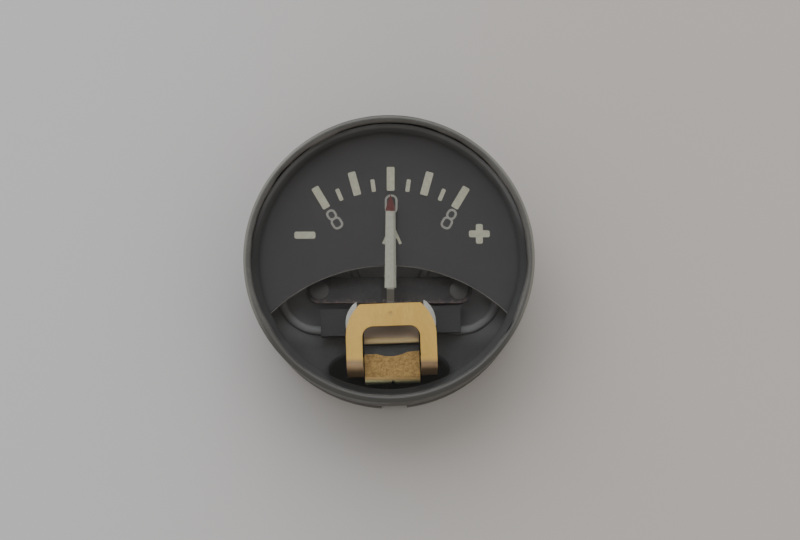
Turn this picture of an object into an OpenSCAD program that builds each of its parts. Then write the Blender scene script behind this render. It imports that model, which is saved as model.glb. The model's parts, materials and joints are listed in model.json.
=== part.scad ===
// Round centre-zero panel ammeter, two-inch class, lying on its back.
// Face up along +Z, twelve o'clock towards +Y, origin on the rear rim's plane
// at the middle of the case. All lengths are in millimetres.

/* [Case] */
// Outer diameter of the case and its rolled rim
case_d = 51.8; // [50:0.1:60]
// Depth of the case, rear edge to the top of the rim
case_h = 19; // [18:0.1:24]
// Thickness of the case wall
case_wall = 0.75; // [0.5:0.05:0.9]
// Thickness of the rolled bead at the front
rim_bead_d = 1.35; // [1:0.05:1.4]
// Radius of the swaged groove that carries the base
swage_r = 0.9; // [0.7:0.05:1.1]
// Depth of the swaged groove in the outer face
swage_depth = 0.55; // [0.4:0.05:0.6]
// Width of the lead notch in the rear edge
notch_w = 4.8; // [3:0.1:8]
// Height of the lead notch
notch_h = 8.5; // [4:0.1:9]
// Turn of the notch away from six o'clock, degrees
notch_turn = 2; // [-5:0.5:5]

/* [Glass, ring and dial] */
// Thickness of the glass
lens_t = 1; // [0.8:0.1:1.5]
// Height of the sloping ring under the glass
ring_h = 1.45; // [1.3:0.05:2.5]
// Width of the ring's edge at the glass
ring_top_w = 0.4; // [0.3:0.05:1]
// Width of the ring's foot on the dial
ring_low_w = 1.75; // [1.2:0.05:3]
// Thickness of the dial plate
dial_t = 0.5; // [0.4:0.05:0.8]
// Radius of the arc that cuts off the dial's lower part
dial_arc_r = 30.3; // [28:0.1:34]
// Height of that arc's crown above the spindle
dial_arc_rise = 8.75; // [6.5:0.05:9.5]
// Gap all round between the case wall and what lies in it
case_gap = 0.1; // [0.05:0.01:0.2]

/* [Scale] */
// Angle from zero to the end of the scale, degrees
scale_end = 30.75; // [25:0.25:33]
// Clear dial between the middle mark and the sloping ring
mark_margin = 6.35; // [5.5:0.05:7.5]
// Length of a main mark
main_mark_l = 4.4; // [2:0.05:5]
// Width of a main mark
main_mark_w = 1.4; // [0.5:0.05:1.6]
// Length of a half-way mark
half_mark_l = 2.3; // [1:0.05:4]
// Width of a half-way mark
half_mark_w = 0.75; // [0.3:0.05:1.2]
// Thickness of the marks' paint
mark_t = 0.1; // [0.05:0.01:0.2]

/* [Base] */
// Depth of the open recess behind the base
rear_recess = 7; // [6.5:0.1:7.5]
// Thickness of the base's floor
floor_t = 2.4; // [2:0.1:2.8]
// Thickness of the base's side wall
base_wall = 1; // [0.8:0.05:1.5]
// Outer radius of the raised collar round each terminal
collar_r = 8; // [7:0.1:8.4]
// Width of that collar
collar_w = 1.6; // [1.2:0.1:2]
// Height of the collars and pedestals above the floor
collar_h = 0.8; // [0.6:0.05:1]
// Length of the black insulating pad
pad_l = 22; // [20:0.1:24]
// Width of the black insulating pad
pad_w = 9; // [8.4:0.1:9.2]
// Thickness of the black insulating pad
pad_t = 0.8; // [0.6:0.05:1]
// Gap between the pad and the base's side wall
pad_margin = 0.3; // [0.2:0.05:0.8]

/* [Terminals] */
// Distance between the two terminal studs
stud_pitch = 25.4; // [24:0.1:26.5]
// Height of the studs above the spindle, on the face
stud_rise = 4.9; // [4.3:0.1:5.5]
// Diameter of the terminal studs
stud_d = 4; // [3:0.1:4.2]
// Clearance of the studs from the rear edge's plane
stud_inset = 0.5; // [0.3:0.1:1]
// Width of the conductor strap
strap_w = 4.8; // [3.4:0.1:5]
// Thickness of the conductor strap
strap_t = 0.8; // [0.5:0.1:1]
// Across flats of the nuts
nut_af = 7; // [6.5:0.1:8]
// Thickness of a nut
nut_t = 2.2; // [1.8:0.1:2.3]
// Outer diameter of the washers
washer_d = 9; // [8:0.1:10]
// Thickness of the flat washers
washer_t = 0.5; // [0.3:0.1:0.8]
// Thickness of the spring washers
spring_t = 0.7; // [0.6:0.1:0.9]

/* [Movement] */
// Sideways place of the spindle
pivot_x = 0.25; // [-0.5:0.05:0.5]
// Distance of the spindle from the dial's lower edge
pivot_margin = 15.1; // [14.9:0.05:15.3]
// Turn of the movement against the dial, degrees
movement_turn = 2; // [-3:0.1:3]
// Diameter of the spindle
spindle_d = 1; // [0.8:0.1:1.2]
// Diameter of the spindle's pivots
pivot_d = 0.6; // [0.4:0.05:0.7]
// Running clearance round a pivot, on the radius
pivot_gap = 0.05; // [0.02:0.01:0.08]
// Free play along the spindle at each shoulder
end_play = 0.1; // [0.05:0.01:0.15]
// Diameter of the hub
hub_d = 2.2; // [2:0.1:2.6]
// Length of the moving iron vane
vane_l = 8.4; // [6:0.1:9]
// Width of the moving iron vane
vane_w = 2.6; // [2.4:0.1:3]

/* [Pointer] */
// Gap between the pointer's tip and the marks
tip_gap = 0.8; // [0.2:0.05:3]
// Width of the blade at its root
blade_root_w = 2.1; // [1:0.05:2.2]
// Width of the blade where the tip begins
blade_end_w = 1.75; // [1:0.05:2.2]
// Length of the pointed tip
tip_l = 2.7; // [1.5:0.1:5]
// Distance from the spindle to the blade's root
blade_start = 4.7; // [4.2:0.1:6]
// Width of the stub that carries the blade
stub_w = 1.35; // [0.8:0.05:1.6]
// Thickness of the pointer's sheet
pointer_t = 0.25; // [0.2:0.05:0.3]
// Clear height of the blade over the dial
blade_lift = 0.55; // [0.4:0.05:0.7]

/* [Front bridge] */
// Overall width of the bridge
bridge_w = 16.1; // [15.6:0.1:17.4]
// Width of each leg
bridge_leg_w = 2.9; // [2.6:0.05:3.2]
// Height of the top bar
bridge_bar_h = 4; // [3.4:0.1:4.4]
// Distance from the spindle to the bar's upper edge
bridge_top_y = 1.85; // [1.6:0.05:2]
// Distance from the spindle to the bend of the legs
bridge_bend_y = 8.6; // [8.2:0.1:8.8]
// Radius of the bridge's outer corners
bridge_corner_r = 7.6; // [6:0.1:7.8]
// Height of those corners, from the straight side to the upper edge
bridge_corner_h = 5.8; // [4.5:0.1:6]
// Radius of the opening's corners
opening_corner_r = 1.9; // [1:0.1:2.4]
// Thickness of the bridge's brass
bridge_t = 0.8; // [0.6:0.05:1]
// Height of the bridge's top over the dial
bridge_lift = 1.1; // [1:0.05:1.3]
// Angle of the leg's bend, degrees
leg_bend = 77; // [72:1:84]

/* [Inner plates] */
// Width of the plates seen inside the bridge
inner_w = 9.9; // [9:0.1:10]
// Thickness of the inner brass plates
inner_t = 0.7; // [0.5:0.05:0.8]
// Height of the field strap above the movement bar
field_h = 1.7; // [1.5:0.05:1.8]
// Height of the control magnet above its pad
magnet_h = 1.9; // [1.6:0.05:2]
// Front-to-back size of the control magnet
magnet_depth = 3; // [2.6:0.1:3.2]
// Height of the contact plate above the magnet
plate_gap = 0.1; // [0.05:0.01:0.2]
// Radius of the hollow in the contact plate's upper edge
plate_hollow_r = 6.5; // [5:0.1:9]
// Rise of that edge from the hollow to its right-hand end
plate_rise_right = 0.85; // [0.6:0.05:1.2]
// Rise of that edge from the hollow to its left-hand end
plate_rise_left = 0.5; // [0.2:0.05:0.8]
// Width of the V nick in the contact plate's bend
nick_w = 0.9; // [0.5:0.05:1.4]

/* [Hidden] */
$fn = 96;
cut = 1; // overshoot of a cutting shape past the face it opens

case_r = case_d/2;
case_in_r = case_r - case_wall;
fit_r = case_in_r - case_gap;
bead_r = rim_bead_d/2;
base_in_r = fit_r - base_wall;
pivot_drop = fit_r - pivot_margin;

// levels, rear to front
lens_top_z = case_h - rim_bead_d;
lens_z = lens_top_z - lens_t;
dial_z = lens_z - ring_h;
dial_low_z = dial_z - dial_t;
floor_z = rear_recess + floor_t;
seat_z = floor_z + collar_h;
bar_t = 1.6;
bar_z = seat_z + bar_t;
bridge_z = dial_z + bridge_lift;
bridge_low_z = bridge_z - bridge_t;

// dial
ring_low_r = fit_r - ring_low_w;
dial_arc_y = -pivot_drop + dial_arc_rise;
mark_in_r = ring_low_r + pivot_drop - mark_margin - main_mark_l;
pointer_l = mark_in_r - tip_gap;

// the seat of the base on the swaged bead
swage_x = case_r + swage_r - swage_depth;
swage_out_r = swage_r + case_wall;
seat_drop = sqrt(pow(swage_out_r, 2) - pow(swage_x - fit_r, 2));
seat_gap = 0.05;
swage_z = rear_recess - seat_drop - seat_gap;

// terminals
stud_xs = [-stud_pitch/2, stud_pitch/2];
stud_drop = pivot_drop - stud_rise;
strap_rise = 0.2;
strap_z = seat_z + strap_rise;
strap_top_z = strap_z + strap_t;
strap_pad_r = 2.4;
stud_neck_r = 1.2;
stud_head_r = 1.7;
stud_head_h = 0.5;
clamp_z = rear_recess - washer_t - nut_t;
spring_z = clamp_z - spring_t;
terminal_z = spring_z - nut_t;
collar_round = 0.7;
pad_y = -(base_in_r - pad_margin - pad_w/2);

// movement, measured from the spindle
pivot_y = -pivot_drop;
bar_l = 25.3;
bar_top_y = 1.6;
bar_low_y = -3.2;
cheek_w = 2.1;
cheek_out_x = bridge_w/2;
cheek_in_x = cheek_out_x - cheek_w;
cheek_proud = 0.5;
cheek_top_y = bridge_top_y + cheek_proud;
cheek_low_y = -2.25;
cheek_corner_r = 4.7;
cheek_corner_h = 3.8;
pedestal_l = 11;
pedestal_w = 3.6;
bearing_r = 1.3;
bearing_lip = 0.4;
bearing_top_z = bar_z + bearing_lip;
bearing_floor_t = 0.5;
shoulder_low_z = bearing_top_z + end_play;
shoulder_top_z = bridge_low_z - end_play;
vane_t = 0.5;
eye_drop = 0.65;
eye_w = 0.7;
vane_drop = 0.45;
hub_tail = 0.4;
hub_lip = 0.1;
pointer_z = bridge_low_z - eye_drop;
vane_z = pointer_z - vane_drop - vane_t;
hub_z = vane_z - hub_tail;
hub_top_z = pointer_z + pointer_t + hub_lip;
eye_r = hub_d/2 + eye_w;
stub_l = 0.6;
blade_z = dial_z + blade_lift;
ridge_h = 0.15;

// front bridge
bridge_bend_r = 0.6;
leg_x = bridge_w/2 - bridge_leg_w/2;
foot_z = floor_z + pad_t;
leg_fall = bridge_low_z - foot_z - bridge_t - 2*bridge_bend_r;
leg_slope_l = leg_fall/sin(leg_bend);
foot_l = 2.2;
foot_y = -bridge_bend_y - leg_slope_l*cos(leg_bend) + foot_l/2;

// inner plates
field_foot_y = -1.5;
field_bend_y = -2.6;
field_low_y = -5.05;
field_incline = 33;
magnet_top_y = -5.1;
magnet_bow = 0.5;
plate_z = foot_z + magnet_h + plate_gap;
plate_hollow_x = -0.2;
plate_low_y = -7.3;
plate_bend_y = 10.9;
plate_bend_r = 0.3;
plate_bend = 86;

// rivets
rivet_r = 0.6;
rivet_head_r = 1;
rivet_head_h = 0.5;
bar_rivet_x = 3.6;
bar_rivet_y = -0.3;

// a ring made by turning a rectangle
module tube(r_out, r_in, z0, z1) {
    rotate_extrude()
        translate([r_in, z0])
            square([r_out - r_in, z1 - z0]);
}

// a disc standing on z0
module disc(r, z0, z1) {
    translate([0, 0, z0])
        cylinder(r = r, h = z1 - z0);
}

// places its children at the spindle, turned with the movement
module at_spindle() {
    translate([pivot_x, pivot_y, 0])
        rotate([0, 0, movement_turn])
            children();
}

// places its children at each terminal stud
module at_studs() {
    for (x = stud_xs)
        translate([x, -stud_drop, 0])
            children();
}

// a rectangle with round corners of height h at its upper end, lower end square
module arch_outline(w, top_y, low_y, r, h) {
    difference() {
        translate([-w/2, low_y])
            square([w, top_y - low_y]);
        for (s = [-1, 1])
            translate([s*(w/2 - r), top_y - h])
                difference() {
                    translate([s > 0 ? 0 : -r - cut, 0])
                        square([r + cut, h + cut]);
                    circle(r = r);
                }
    }
}

// a flat run of sheet towards -Y, its lower face on z = 0; children go on from its end
module run(l, w, t) {
    translate([-w/2, -l, 0])
        cube([w, l, t]);
    translate([0, -l, 0])
        children();
}

// a bend of that sheet downwards by a; children go on from its end
module bend(a, r, w, t) {
    translate([-w/2, 0, -r])
        rotate([0, -90, 180])
            mirror([0, 0, 1])
                translate([0, 0, -w])
                    rotate_extrude(angle = a)
                        translate([r, 0])
                            square([t, w]);
    translate([0, 0, -r])
        rotate([a, 0, 0])
            translate([0, 0, r])
                children();
}

// drawn case: rolled rim, plain wall, swaged bead and the lead notch
module case_shell() {
    color("#8b8f86")
        difference() {
            rotate_extrude()
                difference() {
                    union() {
                        translate([case_in_r, 0])
                            square([case_wall, case_h - bead_r]);
                        translate([case_r - bead_r, case_h - bead_r])
                            circle(r = bead_r, $fn = 48);
                        intersection() {
                            translate([swage_x, swage_z])
                                circle(r = swage_out_r, $fn = 48);
                            translate([case_in_r - swage_out_r, swage_z - swage_out_r])
                                square([swage_out_r + case_wall, 2*swage_out_r]);
                        }
                    }
                    translate([swage_x, swage_z])
                        circle(r = swage_r, $fn = 48);
                }
            rotate([0, 0, notch_turn])
                translate([-notch_w/2, -case_r - cut, -cut])
                    cube([notch_w, case_r/2, notch_h + cut]);
        }
}

// flat glass under the rolled rim
module lens() {
    color("#dfe8e8", 0.25)
        disc(fit_r, lens_z, lens_top_z);
}

// black ring that slopes from the glass down to the dial
module spacer_ring() {
    color("#2a2a2b")
        rotate_extrude()
            polygon([
                [ring_low_r, dial_z],
                [fit_r, dial_z],
                [fit_r, lens_z],
                [fit_r - ring_top_w, lens_z]
            ]);
}

// dial plate, its lower part cut away along an arc
module dial_plate() {
    color("#303032")
        difference() {
            disc(fit_r, dial_low_z, dial_z);
            translate([0, dial_arc_y - dial_arc_r, dial_low_z - cut])
                cylinder(r = dial_arc_r, h = dial_t + 2*cut, $fn = 180);
        }
}

// five main marks and four half-way marks, even steps about the spindle
module scale_marks() {
    color("#d8d4c0")
        translate([pivot_x, pivot_y, dial_z])
            for (i = [-4:4]) {
                main = i % 2 == 0;
                w = main ? main_mark_w : half_mark_w;
                l = main ? main_mark_l : half_mark_l;
                rotate([0, 0, -i*scale_end/4])
                    translate([-w/2, mark_in_r, 0])
                        cube([w, l, mark_t]);
            }
}

// moulded base: floor, side wall up to the dial, collars and pedestals
module base_cup() {
    color("#38383a")
        difference() {
            union() {
                disc(fit_r, rear_recess, floor_z);
                tube(fit_r, base_in_r, floor_z, dial_low_z);
                at_studs() {
                    collar();
                    disc(strap_pad_r, floor_z, strap_z);
                }
                at_spindle()
                    translate([-pedestal_l/2, bar_rivet_y - pedestal_w/2, floor_z])
                        cube([pedestal_l, pedestal_w, collar_h]);
            }
            at_studs()
                disc(stud_d/2, rear_recess - cut, strap_z + cut);
            at_spindle() {
                at_bar_rivets()
                    disc(rivet_r, rear_recess - cut, seat_z + cut);
                at_bridge_rivets()
                    disc(rivet_r, rear_recess - cut, floor_z + cut);
            }
        }
}

// raised collar with both upper edges round
module collar() {
    in_r = collar_r - collar_w;
    rotate_extrude() {
        translate([in_r, floor_z])
            square([collar_w, collar_h - collar_round]);
        translate([in_r + collar_round, floor_z])
            square([collar_w - 2*collar_round, collar_h]);
        for (r = [in_r + collar_round, collar_r - collar_round])
            translate([r, seat_z - collar_round])
                circle(r = collar_round, $fn = 32);
    }
}

// oval pad of black fibre under the feet of the bridge
module insulating_pad() {
    color("#0c0c0d")
        difference() {
            translate([0, pad_y, floor_z])
                linear_extrude(pad_t)
                    polygon([for (a = [0:4:356]) [pad_l/2*cos(a), pad_w/2*sin(a)]]);
            at_spindle()
                at_bridge_rivets()
                    disc(rivet_r, floor_z - cut, foot_z + cut);
        }
}

// dark copper strap between the two studs
module conductor_strap() {
    color("#6b4a3a")
        difference() {
            translate([0, 0, strap_z]) {
                translate([-stud_pitch/2, -stud_drop - strap_w/2, 0])
                    cube([stud_pitch, strap_w, strap_t]);
                at_studs()
                    cylinder(d = strap_w, h = strap_t);
            }
            at_studs()
                disc(stud_neck_r, strap_z - cut, strap_top_z + cut);
        }
}

// threaded stud with a low riveted head on the strap
module stud(x) {
    color("#a08a58")
        translate([x, -stud_drop, 0]) {
            disc(stud_d/2, stud_inset, strap_z);
            disc(stud_neck_r, strap_z, strap_top_z);
            disc(stud_head_r, strap_top_z, strap_top_z + stud_head_h);
        }
}

module stud_left() stud(stud_xs[0]);

module stud_right() stud(stud_xs[1]);

// flat washers against the back of the base
module flat_washers() {
    color("#b09860")
        at_studs()
            tube(washer_d/2, stud_d/2, rear_recess - washer_t, rear_recess);
}

// a hexagon nut standing on z0
module nut(z0) {
    difference() {
        translate([0, 0, z0])
            cylinder(d = nut_af/cos(30), h = nut_t, $fn = 6);
        disc(stud_d/2, z0 - cut, z0 + nut_t + cut);
    }
}

// nuts that clamp the studs to the base
module clamp_nuts() {
    color("#a89058")
        at_studs()
            nut(clamp_z);
}

// split spring washers
module spring_washers() {
    color("#8c8c8c")
        at_studs()
            difference() {
                tube(nut_af/2, stud_d/2, spring_z, clamp_z);
                translate([0, 0, spring_z - cut])
                    rotate([0, 0, 45])
                        translate([0, -spring_t/4, 0])
                            cube([nut_af, spring_t/2, spring_t + 2*cut]);
            }
}

// outer nuts that hold the leads
module terminal_nuts() {
    color("#a89058")
        at_studs()
            nut(terminal_z);
}

// dark steel bar across the base that carries the spindle and the poles
module movement_bar() {
    color("#313133")
        at_spindle()
            difference() {
                translate([-bar_l/2, bar_low_y, seat_z])
                    cube([bar_l, bar_top_y - bar_low_y, bar_t]);
                disc(bearing_r, seat_z - cut, bar_z + cut);
                at_bar_rivets()
                    disc(rivet_r, seat_z - cut, bar_z + cut);
            }
}

// brass bush with a blind bore for the lower pivot
module rear_bearing() {
    color("#c2a15a")
        at_spindle()
            difference() {
                disc(bearing_r, seat_z, bearing_top_z);
                disc(pivot_d/2 + pivot_gap, seat_z + bearing_floor_t, bearing_top_z + cut);
            }
}

// one upright pole of the field magnet, its outer upper corner round
module pole_cheek(side) {
    color("#b9bbb6")
        at_spindle()
            translate([0, 0, bar_z])
                linear_extrude(bridge_low_z - bar_z)
                    intersection() {
                        arch_outline(2*cheek_out_x, cheek_top_y, cheek_low_y,
                            cheek_corner_r, cheek_corner_h);
                        translate([side > 0 ? cheek_in_x : -cheek_in_x - bridge_w, -bridge_w])
                            square([bridge_w, 2*bridge_w]);
                    }
}

module pole_cheek_left() pole_cheek(-1);

module pole_cheek_right() pole_cheek(1);

// brass field strap: a foot on the bar, an incline and a lip towards six o'clock
module field_strap() {
    rise = field_h - inner_t;
    climb = rise/tan(field_incline);
    lean = inner_t*tan(field_incline/2);
    color("#b8985c")
        at_spindle()
            translate([-inner_w/2, 0, bar_z])
                rotate([90, 0, 90])
                    linear_extrude(inner_w)
                        polygon([
                            [field_foot_y, 0],
                            [field_foot_y, inner_t],
                            [field_bend_y + lean, inner_t],
                            [field_bend_y + lean - climb, field_h],
                            [field_low_y, field_h],
                            [field_low_y, rise],
                            [field_bend_y - climb, rise],
                            [field_bend_y, 0]
                        ]);
}

// slate-dark control magnet with a bowed lower face
module control_magnet() {
    bow_r = (pow(inner_w/2, 2) + pow(magnet_bow, 2))/(2*magnet_bow);
    color("#3c3f44")
        at_spindle()
            translate([0, magnet_top_y, foot_z])
                linear_extrude(magnet_h)
                    intersection() {
                        translate([-inner_w/2, -magnet_depth])
                            square([inner_w, magnet_depth]);
                        translate([0, bow_r - magnet_depth])
                            circle(r = bow_r, $fn = 180);
                    }
}

// rough brass contact plate, hollowed above, bent down below with a V nick
module contact_plate() {
    blank_y = plate_low_y + plate_rise_right + cut;
    slope = (plate_rise_right - plate_rise_left)/(inner_w/2 - plate_hollow_x);
    far_rise = plate_rise_left + slope*(inner_w - plate_hollow_x);
    color("#a07f4c")
        at_spindle()
            difference() {
                translate([0, blank_y, plate_z])
                    run(plate_bend_y + blank_y, inner_w, inner_t)
                        bend(plate_bend, plate_bend_r, inner_w, inner_t)
                            run(plate_z - foot_z - plate_bend_r, inner_w, inner_t);
                translate([0, plate_low_y, plate_z - cut])
                    linear_extrude(inner_t + 2*cut) {
                        translate([plate_hollow_x, plate_hollow_r])
                            circle(r = plate_hollow_r, $fn = 180);
                        polygon([
                            [-inner_w, plate_rise_left],
                            [plate_hollow_x, plate_rise_left],
                            [inner_w, far_rise],
                            [inner_w, far_rise + 2*cut],
                            [-inner_w, far_rise + 2*cut]
                        ]);
                    }
                translate([0, -plate_bend_y - plate_bend_r - inner_t - nick_w, foot_z])
                    rotate([0, 0, 45])
                        translate([-nick_w, -nick_w, 0])
                            cube([2*nick_w, 2*nick_w, plate_z + inner_t + cut - foot_z]);
            }
}

// polished brass front bridge: an arch whose legs bend down to the pad
module front_bridge() {
    color("#d9b978")
        at_spindle()
            difference() {
                union() {
                    translate([0, 0, bridge_low_z])
                        linear_extrude(bridge_t)
                            difference() {
                                arch_outline(bridge_w, bridge_top_y, -bridge_bend_y,
                                    bridge_corner_r, bridge_corner_h);
                                arch_outline(bridge_w - 2*bridge_leg_w,
                                    bridge_top_y - bridge_bar_h, -bridge_bend_y - cut,
                                    opening_corner_r, opening_corner_r);
                            }
                    for (s = [-1, 1])
                        translate([s*leg_x, -bridge_bend_y, bridge_low_z])
                            bend(leg_bend, bridge_bend_r, bridge_leg_w, bridge_t)
                                run(leg_slope_l, bridge_leg_w, bridge_t)
                                    bend(180 - leg_bend, bridge_bend_r, bridge_leg_w, bridge_t)
                                        run(foot_l, bridge_leg_w, bridge_t);
                }
                disc(pivot_d/2 + pivot_gap, bridge_low_z - cut, bridge_z + cut);
                at_bridge_rivets()
                    disc(rivet_r, foot_z - cut, foot_z + bridge_t + cut);
            }
}

module at_bar_rivets() {
    for (s = [-1, 1])
        translate([s*bar_rivet_x, bar_rivet_y, 0])
            children();
}

module at_bridge_rivets() {
    for (s = [-1, 1])
        translate([s*leg_x, foot_y, 0])
            children();
}

// a rivet through the base, heads behind the base and on top of the piece it holds
module rivet(top_z) {
    disc(rivet_head_r, rear_recess - rivet_head_h, rear_recess);
    disc(rivet_r, rear_recess, top_z);
    disc(rivet_head_r, top_z, top_z + rivet_head_h);
}

module bar_rivets() {
    color("#9a8a68")
        at_spindle()
            at_bar_rivets()
                rivet(bar_z);
}

module bridge_rivets() {
    color("#9a8a68")
        at_spindle()
            at_bridge_rivets()
                rivet(foot_z + bridge_t);
}

// steel spindle with a reduced pivot at each end
module spindle() {
    color("#9b9b98")
        at_spindle() {
            disc(pivot_d/2, seat_z + bearing_floor_t + end_play, shoulder_low_z);
            disc(spindle_d/2, shoulder_low_z, shoulder_top_z);
            disc(pivot_d/2, shoulder_top_z, bridge_z - end_play);
        }
}

// brass collar that joins vane and pointer to the spindle
module hub() {
    color("#c2a15a")
        at_spindle()
            tube(hub_d/2, spindle_d/2, hub_z, hub_top_z);
}

// soft-iron vane, pointed at both ends
module moving_vane() {
    shoulder = vane_l/4;
    color("#77787a")
        at_spindle()
            difference() {
                translate([0, 0, vane_z])
                    linear_extrude(vane_t)
                        polygon([
                            [-vane_l/2, 0],
                            [-shoulder, -vane_w/2],
                            [shoulder, -vane_w/2],
                            [vane_l/2, 0],
                            [shoulder, vane_w/2],
                            [-shoulder, vane_w/2]
                        ]);
                disc(hub_d/2, vane_z - cut, vane_z + vane_t + cut);
            }
}

// pointer: eye round the hub, stub, cranked rise and a creased blade with a pointed tip
module pointer() {
    rise_start = eye_r + stub_l;
    rise_l = blade_start - rise_start;
    rise = blade_z - pointer_z;
    blade_end = pointer_l - tip_l;
    color("#dcd9cf")
        translate([pivot_x, pivot_y, 0])
            union() {
                difference() {
                    union() {
                        disc(eye_r, pointer_z, pointer_z + pointer_t);
                        translate([-stub_w/2, 0, pointer_z])
                            cube([stub_w, rise_start, pointer_t]);
                    }
                    disc(hub_d/2, pointer_z - cut, pointer_z + pointer_t + cut);
                }
                translate([-stub_w/2, 0, 0])
                    rotate([90, 0, 90])
                        linear_extrude(stub_w)
                            polygon([
                                [rise_start, pointer_z],
                                [rise_start + rise_l, pointer_z + rise],
                                [rise_start + rise_l, pointer_z + rise + pointer_t],
                                [rise_start, pointer_z + pointer_t]
                            ]);
                translate([0, 0, blade_z])
                    linear_extrude(pointer_t)
                        polygon([
                            [-blade_root_w/2, blade_start],
                            [blade_root_w/2, blade_start],
                            [blade_end_w/2, blade_end],
                            [0, pointer_l],
                            [-blade_end_w/2, blade_end]
                        ]);
                translate([0, blade_start, blade_z + pointer_t])
                    rotate([-90, 0, 0])
                        linear_extrude(blade_end - blade_start)
                            polygon([
                                [-blade_end_w/2, 0],
                                [blade_end_w/2, 0],
                                [0, -ridge_h]
                            ]);
            }
}

case_shell();
spacer_ring();
dial_plate();
scale_marks();
base_cup();
insulating_pad();
conductor_strap();
stud_left();
stud_right();
flat_washers();
clamp_nuts();
spring_washers();
terminal_nuts();
movement_bar();
rear_bearing();
pole_cheek_left();
pole_cheek_right();
field_strap();
control_magnet();
contact_plate();
front_bridge();
bar_rivets();
bridge_rivets();
spindle();
hub();
moving_vane();
pointer();
lens();
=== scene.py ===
import json
import math

import bmesh
import bpy
from mathutils import Matrix, Vector, noise


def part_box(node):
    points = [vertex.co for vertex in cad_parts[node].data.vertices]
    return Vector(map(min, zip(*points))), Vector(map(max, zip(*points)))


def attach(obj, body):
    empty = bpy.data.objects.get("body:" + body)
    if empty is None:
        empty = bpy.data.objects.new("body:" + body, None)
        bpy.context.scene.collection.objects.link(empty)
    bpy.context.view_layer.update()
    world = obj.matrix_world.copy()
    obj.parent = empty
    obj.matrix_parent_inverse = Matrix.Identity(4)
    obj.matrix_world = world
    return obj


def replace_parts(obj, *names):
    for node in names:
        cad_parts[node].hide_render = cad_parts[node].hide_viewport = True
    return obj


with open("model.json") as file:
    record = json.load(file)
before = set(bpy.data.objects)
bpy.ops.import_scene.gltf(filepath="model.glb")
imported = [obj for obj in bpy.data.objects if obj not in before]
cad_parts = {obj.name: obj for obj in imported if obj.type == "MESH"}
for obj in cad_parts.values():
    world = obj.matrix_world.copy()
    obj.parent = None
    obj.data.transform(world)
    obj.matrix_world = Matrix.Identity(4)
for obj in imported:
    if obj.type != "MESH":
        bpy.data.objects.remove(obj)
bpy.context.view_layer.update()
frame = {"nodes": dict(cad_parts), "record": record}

mm = 0.001
touching = 1e-6  # m, points no further apart are one point
nodes = frame["nodes"]
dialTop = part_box("dial_plate")[1].z
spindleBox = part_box("spindle")
spindleX = (spindleBox[0].x + spindleBox[1].x) / 2
spindleY = (spindleBox[0].y + spindleBox[1].y) / 2
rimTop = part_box("case_shell")[1].z
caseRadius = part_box("case_shell")[1].x


def linear(code):  # sRGB hex to the linear colour a shader takes
    channels = [int(code[i:i + 2], 16) / 255 for i in (0, 2, 4)]
    return [c / 12.92 if c < 0.04045 else ((c + 0.055) / 1.055) ** 2.4 for c in channels] + [1]


def feed(tree, socket, value):  # gives a socket a plain value or another node's output
    if isinstance(value, bpy.types.NodeSocket):
        tree.links.new(value, socket)
    else:
        socket.default_value = value


def addNode(tree, kind, inputs=None, **settings):
    node = tree.nodes.new(kind)
    for name, value in settings.items():
        setattr(node, name, value)
    for name, value in (inputs or {}).items():
        feed(tree, node.inputs[name], value)
    return node


camera = {
    "elevation": 81.3,  # degrees above the table
    "distance": 250,  # mm to the middle of the rim
    "lens": 63.5,
    "right": 1.95,  # mm, the line of sight beside the middle of the rim
    "up": -2.45,
}


def placeCamera(c):
    tilt = math.radians(c["elevation"])
    back = Vector((0, -math.cos(tilt), math.sin(tilt)))
    up = Vector((0, math.sin(tilt), math.cos(tilt)))
    data = bpy.data.cameras.new("camera")
    data.lens = c["lens"]
    data.clip_start = 0.01
    data.clip_end = 20
    eye = bpy.data.objects.new("camera", data)
    eye.location = Vector((c["right"] * mm, 0, rimTop)) + up * c["up"] * mm + back * c["distance"] * mm
    eye.rotation_mode = "QUATERNION"
    eye.rotation_quaternion = (-back).to_track_quat("-Z", "Y")
    bpy.context.scene.collection.objects.link(eye)
    bpy.context.scene.camera = eye


placeCamera(camera)
print("camera placed")

light = {
    "window": {"from": (-0.25, 1.0, 1.0), "distance": 1.1, "size": 1.2, "power": 8.9, "colour": "f4f7ff"},
    "room": 1.11,  # the level of the light from all round
    "roomColour": "fffaf3",
    "overhead": 0.12,  # the share of it that comes from straight above
    "overheadFrom": (0.88, 0.975),  # heights on a ball of radius 1 between which it falls to that share
    "near": 0.5,  # the share from the side towards six o'clock
    "nearFrom": (-0.8, 0.4),  # places along Y on that ball between which it rises from that share
}


def addWindow(c):  # a broad window beyond twelve o'clock
    data = bpy.data.lights.new("window", "AREA")
    data.shape = "SQUARE"
    data.size = c["size"]
    data.energy = c["power"]
    data.color = linear(c["colour"])[:3]
    window = bpy.data.objects.new("window", data)
    direction = Vector(c["from"]).normalized()
    window.location = direction * c["distance"]
    window.rotation_mode = "QUATERNION"
    window.rotation_quaternion = direction.to_track_quat("Z", "Y")
    bpy.context.scene.collection.objects.link(window)


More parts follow.
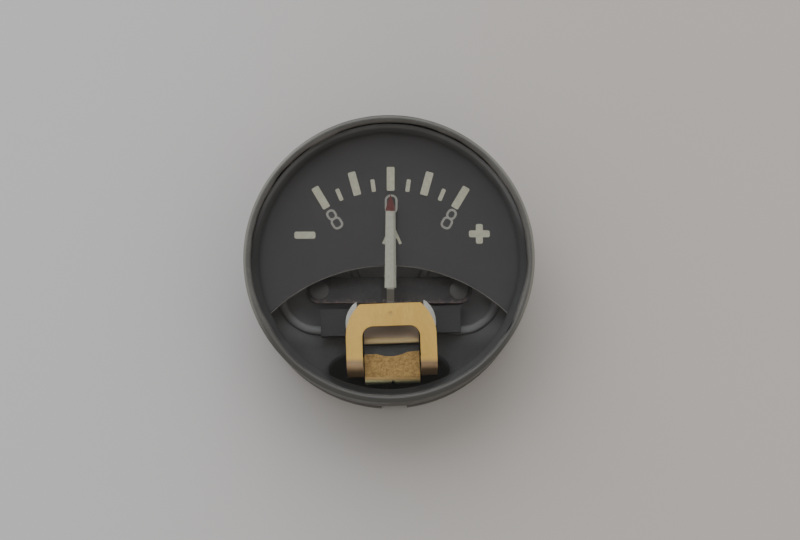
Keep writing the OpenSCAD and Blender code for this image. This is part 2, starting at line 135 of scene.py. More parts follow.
def lightRoom(c):  # a pale room, darker overhead and towards six o'clock
    world = bpy.data.worlds.new("room")
    bpy.context.scene.world = world
    world.use_nodes = True
    tree = world.node_tree
    sky = tree.nodes["Background"]
    where = addNode(tree, "ShaderNodeTexCoord").outputs["Generated"]
    part = addNode(tree, "ShaderNodeSeparateXYZ", {0: where}).outputs
    above = addNode(tree, "ShaderNodeMapRange", {
        "Value": part["Z"], "From Min": c["overheadFrom"][0], "From Max": c["overheadFrom"][1],
        "To Min": c["room"], "To Max": c["room"] * c["overhead"]}, interpolation_type="SMOOTHSTEP").outputs[0]
    side = addNode(tree, "ShaderNodeMapRange", {
        "Value": part["Y"], "From Min": c["nearFrom"][0], "From Max": c["nearFrom"][1],
        "To Min": c["near"], "To Max": 1.0}, interpolation_type="SMOOTHSTEP").outputs[0]
    level = addNode(tree, "ShaderNodeMath", {0: above, 1: side}, operation="MULTIPLY").outputs[0]
    feed(tree, sky.inputs["Strength"], level)
    feed(tree, sky.inputs["Color"], linear(c["roomColour"]))


addWindow(light["window"])
lightRoom(light)
print("lights placed")


def newMaterial(name, values):  # a Principled surface with its plain values on its own sockets
    material = bpy.data.materials.new(name)
    material.use_nodes = True
    tree = material.node_tree
    shader = tree.nodes["Principled BSDF"]
    for socket, value in values.items():
        feed(tree, shader.inputs[socket], value)
    where = addNode(tree, "ShaderNodeTexCoord").outputs["Object"]
    return material, tree, shader, where


def placeIn(tree, where, zone):  # where a point lies along a zone's own measure
    if zone["along"] == "oval":  # 1 at the border of an oval, less inside it
        (middleX, middleY), (halfX, halfY) = zone["middle"], zone["half"]
        spot = addNode(tree, "ShaderNodeMapping", {
            "Vector": where, "Location": (-middleX / halfX, -middleY / halfY, 0),
            "Scale": (1 / halfX / mm, 1 / halfY / mm, 0)}).outputs[0]
        return addNode(tree, "ShaderNodeVectorMath", {0: spot}, operation="LENGTH").outputs["Value"]
    if zone["along"] == "radius":  # mm from the middle of the case
        flat = addNode(tree, "ShaderNodeMapping", {"Vector": where, "Scale": (1 / mm, 1 / mm, 0)}).outputs[0]
        return addNode(tree, "ShaderNodeVectorMath", {0: flat}, operation="LENGTH").outputs["Value"]
    part = addNode(tree, "ShaderNodeSeparateXYZ", {0: where}).outputs[zone["along"]]  # mm along X, Y or Z
    return addNode(tree, "ShaderNodeMath", {0: part, 1: 1 / mm}, operation="MULTIPLY").outputs[0]


def zoneShare(tree, where, cloud, zone):  # how far a point lies into a zone, from 0 to the zone's share
    place = placeIn(tree, where, zone)
    if "ragged" in zone:  # mm, how far the cloud shifts the border
        place = addNode(tree, "ShaderNodeMath", {0: cloud, 1: zone["ragged"], 2: place},
                        operation="MULTIPLY_ADD").outputs[0]
    start, end = zone["span"]  # nothing of the zone at the start, all of it from the end on
    full = zone.get("share", 1)
    low, high, atLow, atHigh = (start, end, 0, full) if start < end else (end, start, full, 0)
    share = addNode(tree, "ShaderNodeMapRange", {
        "Value": place, "From Min": low, "From Max": high, "To Min": atLow, "To Max": atHigh},
        interpolation_type="SMOOTHSTEP").outputs[0]
    if "within" in zone:  # only where a second zone is too
        other = zoneShare(tree, where, cloud, zone["within"])
        share = addNode(tree, "ShaderNodeMath", {0: share, 1: other}, operation="MULTIPLY").outputs[0]
    return share


toneSpread = (0.8, 1.2)  # the two patterns add up to about 1; the tones lie between these sums
glossSpread = (0.75, 1.25)


def makeFinish(name, f):  # two tones in patches, a finer grain in gloss and relief, and zones of other tones
    material, tree, shader, where = newMaterial(name, f.get("values", {}))
    laid = where
    if "lay" in f:  # draws the patterns out along one direction
        laid = addNode(tree, "ShaderNodeMapping", {"Vector": where, "Scale": f["lay"]}).outputs[0]
    patch = addNode(tree, "ShaderNodeTexNoise", {
        "Vector": laid, "Scale": 1 / (f["patch"] * mm), "Detail": 4, "Roughness": 0.6}).outputs[0]
    grain = addNode(tree, "ShaderNodeTexNoise", {
        "Vector": laid, "Scale": 1 / (f["grain"] * mm), "Detail": 3, "Roughness": 0.65}).outputs[0]
    both = addNode(tree, "ShaderNodeMath", {0: patch, 1: grain}, operation="ADD").outputs[0]
    tone = addNode(tree, "ShaderNodeMapRange", {
        "Value": both, "From Min": toneSpread[0], "From Max": toneSpread[1]}).outputs[0]
    colour = addNode(tree, "ShaderNodeMix", {
        0: tone, 6: linear(f["dark"]), 7: linear(f["light"])}, data_type="RGBA").outputs[2]
    metallic = f.get("metallic", 0)
    for zone in f.get("zones", []):
        inside = zoneShare(tree, where, both, zone)
        colour = addNode(tree, "ShaderNodeMix", {
            0: inside, 6: colour, 7: linear(zone["colour"])}, data_type="RGBA").outputs[2]
        if "metallic" in zone:
            metallic = addNode(tree, "ShaderNodeMix", {
                0: inside, 2: metallic, 3: zone["metallic"]}).outputs[0]
    gloss = addNode(tree, "ShaderNodeMapRange", {
        "Value": both, "From Min": glossSpread[0], "From Max": glossSpread[1],
        "To Min": f["rough"][0], "To Max": f["rough"][1]}).outputs[0]
    relief = addNode(tree, "ShaderNodeBump", {
        "Height": grain, "Strength": 0.5, "Distance": f["relief"] * mm}).outputs[0]
    feed(tree, shader.inputs["Base Color"], colour)
    feed(tree, shader.inputs["Metallic"], metallic)
    feed(tree, shader.inputs["Roughness"], gloss)
    feed(tree, shader.inputs["Normal"], relief)
    return material


# places in mm
underBead = rimTop / mm - 1.0  # where the case's side begins below the rolled bead
legBend = spindleY / mm - 8.6  # where the bridge's legs turn down
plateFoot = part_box("contact_plate")[0].y / mm  # the lower edge of the rough plate
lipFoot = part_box("field_strap")[0].y / mm  # the lower edge of the rolled strip
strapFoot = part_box("conductor_strap")[0].y / mm  # the lower edge of the copper strap
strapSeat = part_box("conductor_strap")[0].z / mm  # the height that it lies at
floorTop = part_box("insulating_pad")[0].z / mm  # the floor that the pad lies on
spindleEnd = spindleBox[1].z / mm
rimSide = caseRadius / mm
cutEdge = dialTop / mm - 0.02  # just below the dial's enamelled face
frontSide = {"along": "Z", "span": (floorTop - 0.8, floorTop - 0.3)}  # only what faces the glass
# a soft black oval round the fibre pad, laid over what lies round it
stain = {"along": "oval", "middle": (-0.1, -20.0), "half": (11.3, 4.3), "span": (1.08, 0.92),
         "colour": "060606"}

# sizes in mm: patch and grain are the widths of the two patterns, relief the depth of the grain.
# A zone grows along its span, in mm over the radius or an axis, or from 1 at the border of an oval.
finishes = {
    # dull nickel plate on drawn steel: smooth dark grey with a slight green cast. A pale band round the
    # outside of the bead, fading towards twelve o'clock, is part rubbed bare metal and part painted
    # highlight; darker towards six o'clock and down its side is painted shade; paler in the groove inside the
    # bead at the top is painted light under the bead's shade
    "case_plate": {
        "name": "dull nickel plate", "dark": "4e4e4c", "light": "5a5a57", "patch": 6, "grain": 0.5,
        "rough": (0.36, 0.48), "relief": 0.005, "metallic": 0.3, "values": {"Specular IOR Level": 0.35},
        "zones": [
            # part rubbed bare metal, part painted highlight: a pale band round the outside, fading towards
            # twelve o'clock
            {"along": "radius", "span": (rimSide - 0.65, rimSide - 0.2), "colour": "81827c", "metallic": 0.6,
             "within": {"along": "Y", "span": (28, 16)}},
            # painted shade: darker towards six o'clock, away from the window
            {"along": "Y", "span": (-7, -17), "share": 0.85, "colour": "41413f", "metallic": 0.3},
            # painted light: paler, matt, in the groove inside the bead at the top, where the bead shades it
            {"along": "radius", "span": (rimSide - 0.9, rimSide - 1.3), "colour": "5b5956", "metallic": 0,
             "within": {"along": "Y", "span": (2, 14)}},
            # painted shade: darker down the side below the bead
            {"along": "Z", "span": (underBead, underBead - 0.35), "share": 0.7, "colour": "3f3d3a"}]},
    # baked satin enamel, even black; greyer towards twelve o'clock and much paler at its outer edge there,
    # painted light where the rim shades it; darker at its foot, painted shade in the crease
    "black_enamel": {
        "name": "satin black enamel", "dark": "373536", "light": "3d3b3c", "patch": 4, "grain": 0.25,
        "rough": (0.5, 0.65), "relief": 0.006, "values": {"Specular IOR Level": 0.35},
        "zones": [
            # painted light: greyer towards twelve o'clock, where the rim shades the ring
            {"along": "Y", "span": (0, 18), "colour": "464445"},
            # painted light: much paler at its outer edge at the top, under the bead's shade
            {"along": "radius", "span": (23.8, 24.3), "colour": "7c7a7a",
             "within": {"along": "Y", "span": (2, 15)}},
            # painted shade: darker at its foot, in the crease by the dial
            {"along": "radius", "span": (23.8, 23.2), "colour": "2a2929"},
            stain]},
    # matt enamel on the dial: flat warm grey-black, barely any sheen, darker round its border as painted
    # shade from the ring beside it; its cut edge is bare metal
    "dial_enamel": {
        "name": "matt dial enamel", "dark": "3c393a", "light": "403d3e", "patch": 6, "grain": 0.2,
        "rough": (0.65, 0.8), "relief": 0.004, "values": {"Specular IOR Level": 0.25},
        "zones": [
            # painted shade: darker round its border beside the ring
            {"along": "radius", "span": (22.5, 23.4), "colour": "2f2e2e"},
            {"along": "Z", "span": (cutEdge, cutEdge - 0.08), "colour": "a3a09a"}]},
    # screened cream paint: chalky, thin at places
    "mark_paint": {
        "name": "cream marking paint", "dark": "a09c88", "light": "b0ac99", "patch": 0.8, "grain": 0.12,
        "rough": (0.6, 0.75), "relief": 0.01},
    # the same paint laid thinner on the figures: greyer, the black showing through
    "thin_paint": {
        "name": "thin marking paint", "dark": "858278", "light": "94918a", "patch": 0.8, "grain": 0.12,
        "rough": (0.6, 0.75), "relief": 0.01},
    # black phenolic moulding: grey-black, slightly cloudy; painted light makes it paler towards twelve
    # o'clock under the dial's edge, towards its wall at the sides and on its raised collars
    "base_moulding": {
        "name": "black phenolic", "dark": "373536", "light": "403e3f", "patch": 3, "grain": 0.3,
        "rough": (0.5, 0.65), "relief": 0.006, "values": {"Specular IOR Level": 0.35},
        "zones": [
            # painted light: paler towards twelve o'clock, under the dial's edge
            {"along": "Y", "span": (-9.0, -4.5), "colour": "868485", "within": frontSide},
            # painted light: paler towards its wall at the sides
            {"along": "radius", "span": (16, 21.5), "colour": "605e5f",
             "within": {"along": "Y", "span": (-15.5, -11.5), "within": frontSide}},
            # painted light: paler on its raised collars
            {"along": "Z", "span": (floorTop + 0.05, floorTop + 0.6), "colour": "706e6f"},
            {**stain, "within": frontSide}]},
    # vulcanised fibre board: deep black, dry
    "black_fibre": {
        "name": "black vulcanised fibre", "dark": "303030", "light": "393838", "patch": 2, "grain": 0.2,
        "rough": (0.7, 0.85), "relief": 0.012, "lay": (0.4, 1, 1), "values": {"Specular IOR Level": 0.15},
        "zones": [stain]},
    # copper strap gone black, its lower edge rubbed pinkish; the ragged border lies about 3 mm above its span
    "dark_copper": {
        "name": "blackened copper", "dark": "302d2e", "light": "3e3b3c", "patch": 1.4, "grain": 0.25,
        "rough": (0.35, 0.55), "relief": 0.012, "metallic": 0.4,
        "zones": [{"along": "Y", "span": (strapFoot - 2.5, strapFoot - 3.25), "ragged": -3, "share": 0.38,
                   "colour": "a08078"}]},
    # turned brass of studs, nuts and washers, slightly dulled; the heads inside are blackened
    "terminal_brass": {
        "name": "turned brass", "dark": "8d7443", "light": "bfa263", "patch": 1.2, "grain": 0.15,
        "rough": (0.3, 0.45), "relief": 0.008, "metallic": 1,
        "zones": [{"along": "Z", "span": (strapSeat, strapSeat + 0.7), "colour": "4e4c4c", "metallic": 0}]},
    # hardened spring steel, straw-grey; the spindle's front end has the tone of the brass round it
    "spring_steel": {
        "name": "spring steel", "dark": "6d6c69", "light": "999791", "patch": 0.9, "grain": 0.1,
        "rough": (0.25, 0.4), "relief": 0.004, "metallic": 1,
        "zones": [{"along": "Z", "span": (spindleEnd - 0.8, spindleEnd - 0.5), "colour": "d6ae68",
                   "metallic": 0.3}]},
    # blackened steel bar: dull oxide, close to the tone of the moulding
    "blackened_steel": {
        "name": "blackened steel", "dark": "252324", "light": "2d2b2c", "patch": 1.6, "grain": 0.2,
        "rough": (0.5, 0.65), "relief": 0.006, "metallic": 0.2},
    # smooth brass of rivets, hub and bearing
    "bearing_brass": {
        "name": "bearing brass", "dark": "9d7f45", "light": "cbab68", "patch": 0.8, "grain": 0.1,
        "rough": (0.25, 0.4), "relief": 0.004, "metallic": 1},
    # bright nickel on the pole faces
    "pole_nickel": {
        "name": "nickel plate", "dark": "b9b8b4", "light": "c9c8c4", "patch": 2, "grain": 0.3,
        "rough": (0.35, 0.42), "relief": 0.002, "metallic": 0.9},
    # rolled brass strip: pale at its lip; its incline, in the bridge's shade, painted a paler dull brown-grey
    # as painted light
    "inner_brass": {
        "name": "rolled brass strip", "dark": "988262", "light": "a8926a", "patch": 1.6, "grain": 0.2,
        "rough": (0.4, 0.55), "relief": 0.004, "metallic": 0.9, "lay": (0.3, 1, 1),
        # painted light: the incline under the bridge a paler dull brown-grey
        "zones": [{"along": "Y", "span": (lipFoot + 1.02, lipFoot + 1.57), "colour": "ad9784",
                   "metallic": 0.2}]},
    # cobalt steel of the control magnet, and the iron of the vane: slate grey, ground
    "magnet_steel": {
        "name": "magnet steel", "dark": "404041", "light": "4c4c4c", "patch": 1.2, "grain": 0.15,
        "rough": (0.4, 0.55), "relief": 0.008, "metallic": 0.6},
    # brass left rough from pickling: brown mottle between yellow grains; its bend painted pale, a painted
    # highlight
    "rough_brass": {
        "name": "pickled brass", "dark": "8a6c42", "light": "be9b60", "patch": 0.8, "grain": 0.3,
        "rough": (0.45, 0.65), "relief": 0.03, "metallic": 0.9,
        "zones": [
            # painted highlight: paler towards the lower bend, and near white on it
            {"along": "Y", "span": (plateFoot + 1.25, plateFoot + 0.95), "colour": "c8a56a", "metallic": 0.2},
            {"along": "Y", "span": (plateFoot + 0.75, plateFoot + 0.4), "colour": "fffac0", "metallic": 0}]},
    # smooth half-hard brass sheet, pale gold, long faint rolling lines; its legs a dull brown where they bend
    # down, painted shade
    "bridge_brass": {
        "name": "smooth brass sheet", "dark": "dab05e", "light": "e6bc69", "patch": 4, "grain": 0.25,
        "rough": (0.42, 0.5), "relief": 0.003, "metallic": 0.9, "lay": (1, 0.25, 1),
        "zones": [
            # painted shade: dull brown on the legs where they bend down
            {"along": "Y", "span": (legBend + 0.8, legBend - 0.2), "colour": "9a7c5c", "metallic": 0.2},
            {"along": "Y", "span": (legBend - 0.1, legBend - 0.6), "colour": "b08f6a", "metallic": 0.2}]},
}
made = {slotName: makeFinish(f["name"], f) for slotName, f in finishes.items()}

glass = {
    "tint": "fbfdfc",
    "values": {"Transmission Weight": 1.0, "IOR": 1.5, "Specular IOR Level": 0.3},
    "smear": 7,  # mm, the width of the smears
    "smearFrom": (0.5, 0.8),  # values of the pattern between which a smear grows
    "haze": 0.03,  # the roughness in a smear
    "lampTint": "f4f6f5",  # what lamplight keeps as it shines through
}


def makeGlass(name, c):  # flat crown glass, clear, with faint smears; lamps shine through it
    material, tree, shader, where = newMaterial(name, {"Base Color": linear(c["tint"]), **c["values"]})
    smear = addNode(tree, "ShaderNodeTexNoise", {
        "Vector": where, "Scale": 1 / (c["smear"] * mm), "Detail": 3}).outputs[0]
    haze = addNode(tree, "ShaderNodeMapRange", {
        "Value": smear, "From Min": c["smearFrom"][0], "From Max": c["smearFrom"][1],
        "To Min": 0.0, "To Max": c["haze"]}).outputs[0]
    feed(tree, shader.inputs["Roughness"], haze)
    path = addNode(tree, "ShaderNodeLightPath").outputs["Is Shadow Ray"]
    clear = addNode(tree, "ShaderNodeBsdfTransparent", {"Color": linear(c["lampTint"])}).outputs[0]
    both = addNode(tree, "ShaderNodeMixShader", {0: path, 1: shader.outputs[0], 2: clear}).outputs[0]
    feed(tree, tree.nodes["Material Output"].inputs["Surface"], both)
    return material


made["glass"] = makeGlass("flat glass", glass)

pointerPaint = {
    # dull is the bare stub's metal, used also as painted shade on the stub and on the blade's right side
    "cream": "adaa9c", "shade": "969386", "red": "6a322f", "redDeep": "522523", "dull": "5c5954",
    "values": {"Roughness": 0.55, "Specular IOR Level": 0.3},
    "patch": 0.6,  # mm, the width of the patches
    "relief": 0.01,  # mm
    # places from the spindle in mm: along Y for the bare stub, painted darker as painted shade, and the red
    # tip; along X for the side painted darker as painted shade
    "stub": (4.6, 4.3),
    "tip": (18.75, 18.95),
    "tipRagged": 0.5,
    "shadedSide": (0.4, 0.7),
    "shadedShare": 0.45,
}


def makePointerPaint(name, c):  # cream enamel, its tip dipped in dark red; its bare stub and its right side painted darker, as painted shade
    material, tree, shader, where = newMaterial(name, c["values"])
    cloud = addNode(tree, "ShaderNodeTexNoise", {
        "Vector": where, "Scale": 1 / (c["patch"] * mm), "Detail": 3}).outputs[0]
    cream = addNode(tree, "ShaderNodeMix", {
        0: cloud, 6: linear(c["shade"]), 7: linear(c["cream"])}, data_type="RGBA").outputs[2]
    red = addNode(tree, "ShaderNodeMix", {
        0: cloud, 6: linear(c["redDeep"]), 7: linear(c["red"])}, data_type="RGBA").outputs[2]
    layers = [  # each colour with the zone that it covers
        # the bare stub, painted darker for its shade
        (linear(c["dull"]), {"along": "Y", "span": [spindleY / mm + at for at in c["stub"]]}),
        (red, {"along": "Y", "span": [spindleY / mm + at for at in c["tip"]], "ragged": c["tipRagged"]}),
        # painted shade on the right side of the blade
        (linear(c["dull"]), {"along": "X", "span": [spindleX / mm + at for at in c["shadedSide"]],
                             "share": c["shadedShare"]}),
    ]
    colour = cream
    for layer, zone in layers:
        inside = zoneShare(tree, where, cloud, zone)
        colour = addNode(tree, "ShaderNodeMix", {0: inside, 6: colour, 7: layer}, data_type="RGBA").outputs[2]
    relief = addNode(tree, "ShaderNodeBump", {
        "Height": cloud, "Strength": 0.4, "Distance": c["relief"] * mm}).outputs[0]
    feed(tree, shader.inputs["Base Color"], colour)
    feed(tree, shader.inputs["Normal"], relief)
    return material


made["pointer_paint"] = makePointerPaint("cream enamel with red tip", pointerPaint)

for material in frame["record"]["materials"]:
    print("finish", material["slot"], "->", made[material["slot"]].name)
for node in nodes.values():
    for i, old in enumerate(node.data.materials):
        node.data.materials[i] = made[old.name.split(".")[0]]
print("finishes made")

smoothAngle = 32  # degrees, a face turns smoothly into the next one up to this angle
sharpAngle = 35  # degrees, an edge that turns by more is broken
flatAngle = 0.4  # degrees, faces that turn by less are one flat face


def addPiece(name, shape, slotName, body, flat=False, finish=""):  # turns a bmesh into an object on a body
    mesh = bpy.data.meshes.new(name)
    shape.to_mesh(mesh)
    shape.free()
    if not flat:
        for face in mesh.polygons:
            face.use_smooth = True
        mesh.set_sharp_from_angle(angle=math.radians(smoothAngle))
    mesh.materials.append(made[finish or slotName])
    piece = bpy.data.objects.new(name, mesh)
    bpy.context.scene.collection.objects.link(piece)
    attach(piece, body)
    return piece


def mergedCopy(node):  # a CAD node's mesh with its doubles merged
    shape = bmesh.new()
    shape.from_mesh(nodes[node].data)
    bmesh.ops.remove_doubles(shape, verts=shape.verts, dist=touching)
    return shape


def copyShape(node):  # a merged copy whose flat faces are whole again
    shape = mergedCopy(node)
    bmesh.ops.dissolve_limit(shape, angle_limit=math.radians(flatAngle), verts=shape.verts, edges=shape.edges)
    return shape


def breakOff(shape, geom, size, segments, affect="EDGES"):  # bevels edges or corners; size in mm
    bmesh.ops.bevel(shape, geom=geom, offset=size * mm, offset_type="OFFSET", affect=affect,
                    segments=segments, profile=0.5, material=-1, clamp_overlap=True)


def sharpEdges(shape):
    return [e for e in shape.edges
            if len(e.link_faces) == 2 and e.calc_face_angle() > math.radians(sharpAngle)]


def softenedCopy(name, node, slotName, body, radius, cut):
    # the CAD node's own shape with its sharp edges broken, in its place; its corners are cut off first
    shape = copyShape(node)
    if cut:
        sharp = set(sharpEdges(shape))
        tips = [v for v in shape.verts if sum(e in sharp for e in v.link_edges) > 2]
        breakOff(shape, tips, cut, 1, affect="VERTICES")
    breakOff(shape, sharpEdges(shape), radius, 2)
    piece = addPiece(name, shape, slotName, body)
    even = piece.modifiers.new("even faces", "WEIGHTED_NORMAL")
    even.keep_sharp = True
    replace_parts(piece, node)


softened = {  # new piece: CAD node, slot, body, the radius of its edges and the cut of its corners in mm
    "frontBridge": ("front_bridge", "bridge_brass", "meter", 0.1, 0),
    "contactPlate": ("contact_plate", "rough_brass", "meter", 0.08, 0),
    "fieldStrap": ("field_strap", "inner_brass", "meter", 0.08, 0),
    "controlMagnet": ("control_magnet", "magnet_steel", "meter", 0.12, 0),
    "movementBar": ("movement_bar", "blackened_steel", "meter", 0.15, 0),
    "poleCheekLeft": ("pole_cheek_left", "pole_nickel", "meter", 0.1, 0),
    "poleCheekRight": ("pole_cheek_right", "pole_nickel", "meter", 0.1, 0),
    "conductorStrap": ("conductor_strap", "dark_copper", "meter", 0.18, 0),
    "fibrePad": ("insulating_pad", "black_fibre", "meter", 0.15, 0),
    "dialPlate": ("dial_plate", "dial_enamel", "meter", 0.2, 0),
    "clampNuts": ("clamp_nuts", "terminal_brass", "meter", 0.08, 0.5),
    "terminalNuts": ("terminal_nuts", "terminal_brass", "meter", 0.08, 0.5),
    "flatWashers": ("flat_washers", "terminal_brass", "meter", 0.08, 0),
    "springWashers": ("spring_washers", "spring_steel", "meter", 0.08, 0),
    "barRivets": ("bar_rivets", "bearing_brass", "meter", 0.18, 0),
    "bridgeRivets": ("bridge_rivets", "bearing_brass", "meter", 0.18, 0),
    "rearBearing": ("rear_bearing", "bearing_brass", "meter", 0.08, 0),
    "hubCollar": ("hub", "bearing_brass", "needle", 0.08, 0),
    "ironVane": ("moving_vane", "magnet_steel", "needle", 0.06, 0),
}
for name, (node, slotName, body, radius, cut) in softened.items():
    softenedCopy(name, node, slotName, body, radius, cut)
print("edges broken on", len(softened), "pieces")

marks = {
    "corner": 0.22,  # mm, the round of a mark's corners
    "upright": 0.02,  # mm, an edge that rises by more stands on the dial
}


def printMarks(c):  # the painted marks with round corners
    shape = copyShape("scale_marks")
    corners = [e for e in shape.edges if abs(e.verts[0].co.z - e.verts[1].co.z) > c["upright"] * mm]
    breakOff(shape, corners, c["corner"], 4)
    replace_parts(addPiece("scaleMarks", shape, "mark_paint", "meter", flat=True), "scale_marks")


printMarks(marks)
print("marks printed")

rim = {
    "bead": 0.675,  # mm, radius of the rolled bead
    "wander": 0.16,  # mm, how far its inner border wanders
    "waves": [(3, 1.0), (9, 0.6)],  # how quickly each of them changes round the rim, and its strength
    # dents pushed into the inner border: direction in degrees, half-width in degrees, depth in mm
    "dents": [(119, 6, 0.3), (142, 5, -0.15), (210, 9, 0.2), (329, 4, -0.3), (343, 6, 0.22)],
}


def rollRim(c):  # the case with its bead rolled a little unevenly; the outside keeps its size
    shape = mergedCopy("case_shell")
    middle = caseRadius / mm - c["bead"]
    beadFoot = rimTop / mm - 2 * c["bead"] - 0.01  # a hair below the bead
    for v in shape.verts:
        radius = math.hypot(v.co.x, v.co.y) / mm
        if v.co.z / mm < beadFoot or radius > middle:
            continue
        inward = min(1, (middle - radius) / c["bead"])
        angle = math.atan2(v.co.y, v.co.x)
        outward = Vector((math.cos(angle), math.sin(angle), 0))
        shift = c["wander"] * sum(strength * noise.noise(outward * pace) for pace, strength in c["waves"])
        for at, half, depth in c["dents"]:
            away = (math.degrees(angle) - at + 180) % 360 - 180
            shift -= depth * math.exp(-(away / half) ** 2)
        v.co.x += outward.x * shift * inward * mm
        v.co.y += outward.y * shift * inward * mm
    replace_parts(addPiece("rolledCase", shape, "case_plate", "meter"), "case_shell")


rollRim(rim)
print("rim rolled")

stud = {  # mm
    "pitch": 0.7, "depth": 0.35, "threadTop": 7.5,
    "chamfer": 0.4,  # at the free end
    "neck": 1.2, "strap": 0.8,  # radius of the neck, and its height through the strap
    "head": 1.7, "headHeight": 0.5,
    "crownIn": 0.4, "crownLow": 0.25, "crownHigh": 0.05,  # the facet round the head, below its top
    "facets": 48,
}


def threadStud(name, node, c):  # a turned stud: threaded below, a neck through the strap and a riveted head
    low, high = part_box(node)
    radius = (high.x - low.x) / 2 / mm
    foot, top = low.z / mm, high.z / mm
    shoulder = top - c["headHeight"] - c["strap"]
    outline = [(0, foot), (radius - c["chamfer"], foot), (radius, foot + c["chamfer"]),
               (radius, c["threadTop"]), (radius, shoulder), (c["neck"], shoulder),
               (c["neck"], shoulder + c["strap"]), (c["head"], shoulder + c["strap"]),
               (c["head"], top - c["crownLow"]), (c["head"] - c["crownIn"], top - c["crownHigh"]), (0, top)]
    shape = bmesh.new()
    corners = [shape.verts.new((x * mm, 0, z * mm)) for x, z in outline]
    edges = [shape.edges.new(pair) for pair in zip(corners, corners[1:])]
    threaded = edges[2]  # from the chamfer up to the top of the thread
    turns = 2 * int((c["threadTop"] - foot - c["chamfer"]) / c["pitch"])
    cuts = bmesh.ops.subdivide_edges(shape, edges=[threaded], cuts=turns - 1)["geom_inner"]
    rings = sorted((v for v in cuts if isinstance(v, bmesh.types.BMVert)), key=lambda v: v.co.z)
    for groove in rings[::2]:
        groove.co.x -= c["depth"] * mm
    bmesh.ops.spin(shape, geom=shape.verts[:] + shape.edges[:], cent=(0, 0, 0), axis=(0, 0, 1),
                   angle=2 * math.pi, steps=c["facets"], use_merge=True)
    bmesh.ops.remove_doubles(shape, verts=shape.verts, dist=touching)
    bmesh.ops.recalc_face_normals(shape, faces=shape.faces)
    bmesh.ops.translate(shape, vec=((low.x + high.x) / 2, (low.y + high.y) / 2, 0), verts=shape.verts)
    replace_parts(addPiece(name, shape, "terminal_brass", "meter"), node)


threadStud("threadedStudLeft", "stud_left", stud)
threadStud("threadedStudRight", "stud_right", stud)
print("studs turned")

dialPrint = {  # mm
    "lift": 0.05,  # thickness of the print
    "step": 0.003,  # each further stroke of a figure lies this much higher
    # each eight: x, y and the turn in degrees
    "eights": {"figureEightLeft": (-9.87, 7.31, 33.3), "figureEightRight": (10.79, 7.36, -28.5)},
    "eight": {"low": (2.0, 2.3), "high": (1.8, 2.05), "stroke": 0.4, "corner": 0.85},
    "zero": {"x": 0.1, "radius": 20.0, "size": (2.3, 3.6), "stroke": 0.38, "corner": 1.05},
    # bar: how far up the crossbar lies, and how thick it is beside a stroke
    "letter": {"x": 0.5, "base": 2.8, "apex": 6.4, "width": 3.1, "stroke": 0.48, "bar": (0.33, 0.9)},
    "minus": {"x": -15.17, "y": 4.39, "length": 3.77, "width": 1.28, "corner": 0.35},
    "plus": {"x": 16.24, "y": 4.64, "across": 3.75, "tall": 3.6, "width": 1.25, "corner": 0.35},
}


def addLoop(shape, y, size, stroke, corner, level=0):  # a flat ring with round corners
    known = set(shape.faces)
    square = bmesh.ops.create_grid(shape, x_segments=1, y_segments=1, size=0.5)["verts"]
    bmesh.ops.scale(shape, vec=(size[0] * mm, size[1] * mm, 1), verts=square)
    breakOff(shape, square, corner, 7, affect="VERTICES")
    middle = [f for f in shape.faces if f not in known]
    bmesh.ops.inset_region(shape, faces=middle, thickness=stroke * mm, use_boundary=True,
                           use_even_offset=True)
    bmesh.ops.delete(shape, geom=middle, context="FACES_ONLY")
    verts = list({v for f in shape.faces if f not in known for v in f.verts})
    bmesh.ops.translate(shape, vec=(0, y * mm, level * dialPrint["step"] * mm), verts=verts)


def addStroke(shape, start, end, width, corner=0, level=0):  # a flat bar between two points
    start, end = Vector(start), Vector(end)
    known = set(shape.verts)
    bar = bmesh.ops.create_grid(shape, x_segments=1, y_segments=1, size=0.5)["verts"]
    bmesh.ops.scale(shape, vec=((end - start).length * mm, width * mm, 1), verts=bar)
    if corner:
        breakOff(shape, bar, corner, 5, affect="VERTICES")
    turn = Matrix.Rotation(math.atan2(end.y - start.y, end.x - start.x), 4, "Z")
    middle = (start + end) / 2 * mm
    place = Matrix.Translation((middle.x, middle.y, level * dialPrint["step"] * mm)) @ turn
    bmesh.ops.transform(shape, matrix=place, verts=[v for v in shape.verts if v not in known])


def addCross(shape, across, tall, width, corner):  # a flat cross in one piece
    grid = bmesh.ops.create_grid(shape, x_segments=3, y_segments=3, size=1)["verts"]
    for v in grid:  # the outer lines of the grid go to the tips, the inner ones to the sides of the arms
        v.co.x = math.copysign(across if abs(v.co.x) > 0.5 else width, v.co.x) / 2 * mm
        v.co.y = math.copysign(tall if abs(v.co.y) > 0.5 else width, v.co.y) / 2 * mm
    inner = width / 2 * mm + touching
    waste = [f for f in shape.faces if all(abs(c) > inner for c in f.calc_center_median()[:2])]
    bmesh.ops.delete(shape, geom=waste, context="FACES")
    tips = [v for v in shape.verts if len(v.link_edges) == 2]
    breakOff(shape, tips, corner, 4, affect="VERTICES")


def printPiece(name, shape, x, y, turn=0, finish="mark_paint"):
    # thickens the flat shape and lays it on the dial
    bmesh.ops.recalc_face_normals(shape, faces=shape.faces)
    for face in shape.faces:
        if face.normal.z < 0:
            face.normal_flip()
    grown = bmesh.ops.extrude_face_region(shape, geom=list(shape.faces))
    top = [v for v in grown["geom"] if isinstance(v, bmesh.types.BMVert)]
    bmesh.ops.translate(shape, vec=(0, 0, dialPrint["lift"] * mm), verts=top)
    bmesh.ops.recalc_face_normals(shape, faces=shape.faces)
    place = Matrix.Translation((x * mm, y * mm, dialTop)) @ Matrix.Rotation(math.radians(turn), 4, "Z")
    bmesh.ops.transform(shape, matrix=place, verts=shape.verts)
    addPiece(name, shape, "mark_paint", "meter", flat=True, finish=finish)


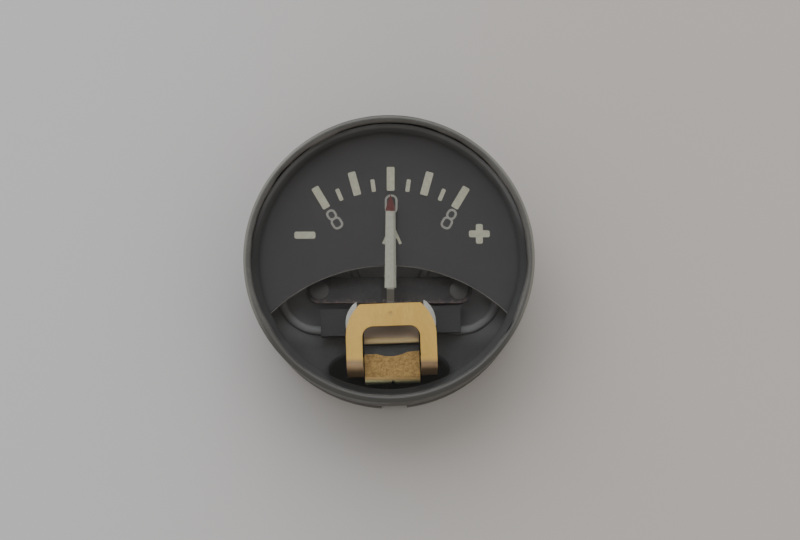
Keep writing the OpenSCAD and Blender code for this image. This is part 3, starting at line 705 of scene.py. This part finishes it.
def printEights(places, c):  # two loops each, one above the other
    low, high = c["low"], c["high"]
    whole = low[1] + high[1] - c["stroke"]
    for name, (x, y, turn) in places.items():
        shape = bmesh.new()
        addLoop(shape, (low[1] - whole) / 2, low, c["stroke"], c["corner"])
        addLoop(shape, (whole - high[1]) / 2, high, c["stroke"], c["corner"], level=1)
        printPiece(name, shape, x, y, turn, finish="thin_paint")


def printZero(c):
    shape = bmesh.new()
    addLoop(shape, 0, c["size"], c["stroke"], c["corner"])
    printPiece("figureZero", shape, spindleX / mm + c["x"], spindleY / mm + c["radius"], finish="thin_paint")


def printLetter(c):
    shape = bmesh.new()
    half, tall = c["width"] / 2, c["apex"] - c["base"]
    rise, thin = c["bar"]
    crossX, crossY = half * (1 - rise), tall * rise
    addStroke(shape, (-half, 0), (0, tall), c["stroke"])
    addStroke(shape, (half, 0), (0, tall), c["stroke"], level=1)
    addStroke(shape, (-crossX, crossY), (crossX, crossY), c["stroke"] * thin, level=2)
    printPiece("letterA", shape, c["x"], c["base"])


def printMinus(c):
    shape = bmesh.new()
    half = c["length"] / 2
    addStroke(shape, (-half, 0), (half, 0), c["width"], corner=c["corner"])
    printPiece("minusSign", shape, c["x"], c["y"])


def printPlus(c):
    shape = bmesh.new()
    addCross(shape, c["across"], c["tall"], c["width"], c["corner"])
    printPiece("plusSign", shape, c["x"], c["y"])


printEights(dialPrint["eights"], dialPrint["eight"])
printZero(dialPrint["zero"])
printLetter(dialPrint["letter"])
printMinus(dialPrint["minus"])
printPlus(dialPrint["plus"])
print("dial printed")

table = {
    "size": 3000,  # mm
    # painted light: left is the card in the cool window light, right the card in warmer shade
    "left": "c1c2c4", "right": "b8b4b0",
    "blend": 60,  # mm to either side of the middle
    "ragged": 20, "cloud": 30,  # mm, how far the blend wanders and how broad its clouds are
}


def layTable(c):  # smooth matt card; painted light: cooler and paler on the left towards the window, darker and a little warm on the right
    material, tree, shader, where = newMaterial("matt card", {"Roughness": 0.85, "Specular IOR Level": 0.2})
    cloud = addNode(tree, "ShaderNodeTexNoise", {
        "Vector": where, "Scale": 1 / (c["cloud"] * mm), "Detail": 4}).outputs[0]
    share = zoneShare(tree, where, cloud, {
        "along": "X", "span": (-c["blend"], c["blend"]), "ragged": c["ragged"]})
    colour = addNode(tree, "ShaderNodeMix", {
        0: share, 6: linear(c["left"]), 7: linear(c["right"])}, data_type="RGBA").outputs[2]
    feed(tree, shader.inputs["Base Color"], colour)
    shape = bmesh.new()
    bmesh.ops.create_grid(shape, x_segments=8, y_segments=8, size=c["size"] / 2 * mm)
    mesh = bpy.data.meshes.new("table")
    shape.to_mesh(mesh)
    shape.free()
    mesh.materials.append(material)
    piece = bpy.data.objects.new("table", mesh)
    bpy.context.scene.collection.objects.link(piece)


layTable(table)
print("table laid")
